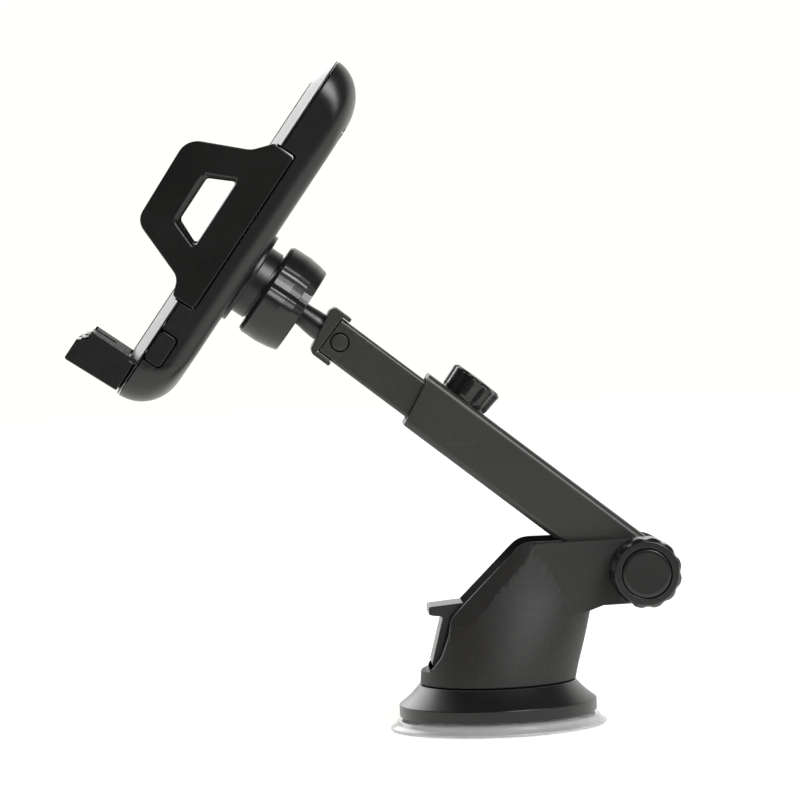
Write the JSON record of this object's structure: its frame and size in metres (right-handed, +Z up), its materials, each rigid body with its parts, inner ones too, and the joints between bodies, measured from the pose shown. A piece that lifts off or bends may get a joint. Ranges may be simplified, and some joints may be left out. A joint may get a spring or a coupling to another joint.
{
  "type": "telescopic car phone mount",
  "caption": "Dashboard phone mount with a lever-locked suction base, folding telescopic arm, ball joint and a spring-open cradle with side clamps and a foot.",
  "frame": {"origin": "middle of the suction cup, on the surface it is stuck to", "axes": "+Z up from the surface, +X from the phone side back to the arm pivot, Y across"},
  "size_m": [0.1938, 0.0704, 0.217],
  "materials": {
    "satin_black": "satin moulded, fine texture",
    "gloss_black": "semi-gloss moulded",
    "soft_rubber": "matt soft rubber",
    "clear_gel": "clear soft gel",
    "white_nylon": "natural nylon",
    "bright_steel": "zinc-plated steel",
    "brass_insert": "machined brass"
  },
  "bodies": {
    "base": {"suction_cup": "clear_gel", "cup_spring": "bright_steel", "base_ring": "satin_black", "ring_screw_1": "bright_steel", "ring_screw_2": "bright_steel", "ring_screw_3": "bright_steel", "ring_screw_4": "bright_steel", "turret_housing": "satin_black", "lever_pin": "bright_steel", "pivot_bolt": "bright_steel", "bolt_cover": "satin_black", "near_washer": "white_nylon", "far_washer": "white_nylon"},
    "stud": {"cup_stud": "white_nylon"},
    "lever": {"lock_lever": "satin_black"},
    "pivot_grip": {"pivot_knob": "gloss_black", "knob_cap": "gloss_black", "knob_insert": "brass_insert"},
    "outer_arm": {"outer_tube": "satin_black", "thumb_insert": "brass_insert", "pressure_shoe": "white_nylon"},
    "thumb_grip": {"thumb_knob": "gloss_black", "thumb_screw": "bright_steel"},
    "inner_arm": {"inner_tube": "satin_black", "arm_end_cap": "satin_black", "end_cap_pin": "satin_black", "ball_stud": "satin_black"},
    "tilt_seat": {"ball_liner": "white_nylon"},
    "swing_ring": {"clamp_ring": "white_nylon"},
    "cradle": {"ball_socket": "satin_black", "socket_screw": "bright_steel", "rear_shell": "satin_black", "front_cover": "satin_black", "front_pad": "soft_rubber", "cover_screw_1": "bright_steel", "cover_screw_2": "bright_steel", "cover_screw_3": "bright_steel", "cover_screw_4": "bright_steel", "right_opening_spring": "bright_steel", "left_opening_spring": "bright_steel", "latch_spring": "bright_steel"},
    "lock_nut": {"ring_nut": "gloss_black"},
    "right_clamp": {"right_wing": "satin_black", "right_wing_pad": "soft_rubber", "right_rack": "white_nylon"},
    "left_clamp": {"left_wing": "satin_black", "left_wing_pad": "soft_rubber", "left_rack": "white_nylon"},
    "pinion": {"pinion_gear": "white_nylon"},
    "right_release": {"right_button": "satin_black"},
    "left_release": {"left_button": "satin_black"},
    "latch": {"release_slider": "white_nylon"},
    "foot_slide": {"foot": "satin_black", "foot_pad": "soft_rubber"}
  },
  "joints": [
    {"name": "lever_lift", "type": "hinge", "parent": "base", "child": "lever", "pos_m": [-0.006, 0, 0.024], "axis": [0, 1, 0], "range_deg": [0, 20]},
    {"name": "stud_drop", "type": "slide", "parent": "base", "child": "stud", "axis": [0, 0, -1], "range_m": [0, 0.0021], "deforming": ["cup_spring", "suction_cup"]},
    {"name": "pivot_knob_turn", "type": "hinge", "parent": "base", "child": "pivot_grip", "pos_m": [0.048, -0.018, 0.0495], "axis": [0, -1, 0], "range_deg": [0, 360]},
    {"name": "arm_raise", "type": "hinge", "parent": "base", "child": "outer_arm", "pos_m": [0.048, 0, 0.0495], "axis": [0, 1, 0], "range_deg": [-8, 105]},
    {"name": "thumb_knob_turn", "type": "hinge", "parent": "outer_arm", "child": "thumb_grip", "pos_m": [-0.0071, 0, 0.10675], "axis": [0.6334, 0, 0.7738], "range_deg": [0, 360]},
    {"name": "arm_extend", "type": "slide", "parent": "outer_arm", "child": "inner_arm", "axis": [-0.7738, 0, 0.6334], "range_m": [-0.025, 0.026]},
    {"name": "ball_tilt", "type": "hinge", "parent": "inner_arm", "child": "tilt_seat", "pos_m": [-0.06421, 0, 0.14134], "axis": [0, 1, 0], "range_deg": [-20, 20]},
    {"name": "ball_swing", "type": "hinge", "parent": "tilt_seat", "child": "swing_ring", "pos_m": [-0.06421, 0, 0.14134], "axis": [0.5878, 0, 0.809], "range_deg": [-16, 16]},
    {"name": "ball_spin", "type": "hinge", "parent": "swing_ring", "child": "cradle", "pos_m": [-0.06421, 0, 0.14134], "axis": [-0.809, 0, 0.5878], "continuous": true},
    {"name": "lock_nut_turn", "type": "hinge", "parent": "cradle", "child": "lock_nut", "pos_m": [-0.06421, 0, 0.14134], "axis": [-0.809, 0, 0.5878], "range_deg": [0, 180]},
    {"name": "right_clamp_open", "type": "slide", "parent": "cradle", "child": "right_clamp", "axis": [0, -1, 0], "range_m": [0, 0.018], "deforming": ["right_opening_spring"]},
    {"name": "left_clamp_open", "type": "slide", "parent": "cradle", "child": "left_clamp", "axis": [0, 1, 0], "range_m": [0, 0.0182], "deforming": ["left_opening_spring"]},
    {"name": "pinion_turn", "type": "hinge", "parent": "cradle", "child": "pinion", "pos_m": [-0.0703, 0, 0.16307], "axis": [-0.809, 0, 0.5878], "range_deg": [-186, 0]},
    {"name": "left_button_press", "type": "slide", "parent": "cradle", "child": "left_release", "axis": [0, -1, 0], "range_m": [0, 0.002], "stiffness_N_per_m": 400, "springref_m": -0.0005},
    {"name": "right_button_press", "type": "slide", "parent": "cradle", "child": "right_release", "axis": [0, 1, 0], "range_m": [0, 0.0021]},
    {"name": "latch_drop", "type": "slide", "parent": "cradle", "child": "latch", "axis": [-0.5878, 0, -0.809], "range_m": [0, 0.0021], "deforming": ["latch_spring"]},
    {"name": "foot_extend", "type": "slide", "parent": "cradle", "child": "foot_slide", "axis": [-0.5878, 0, -0.809], "range_m": [0, 0.012]}
  ],
  "couplings": [
    {"joint": "stud_drop", "follows": "lever_lift", "m_per_rad": 0.00573},
    {"joint": "left_clamp_open", "follows": "right_clamp_open", "ratio": 1},
    {"joint": "pinion_turn", "follows": "right_clamp_open", "rad_per_m": -178.57},
    {"joint": "right_button_press", "follows": "left_button_press", "ratio": 1},
    {"joint": "latch_drop", "follows": "left_button_press", "ratio": 1}
  ]
}
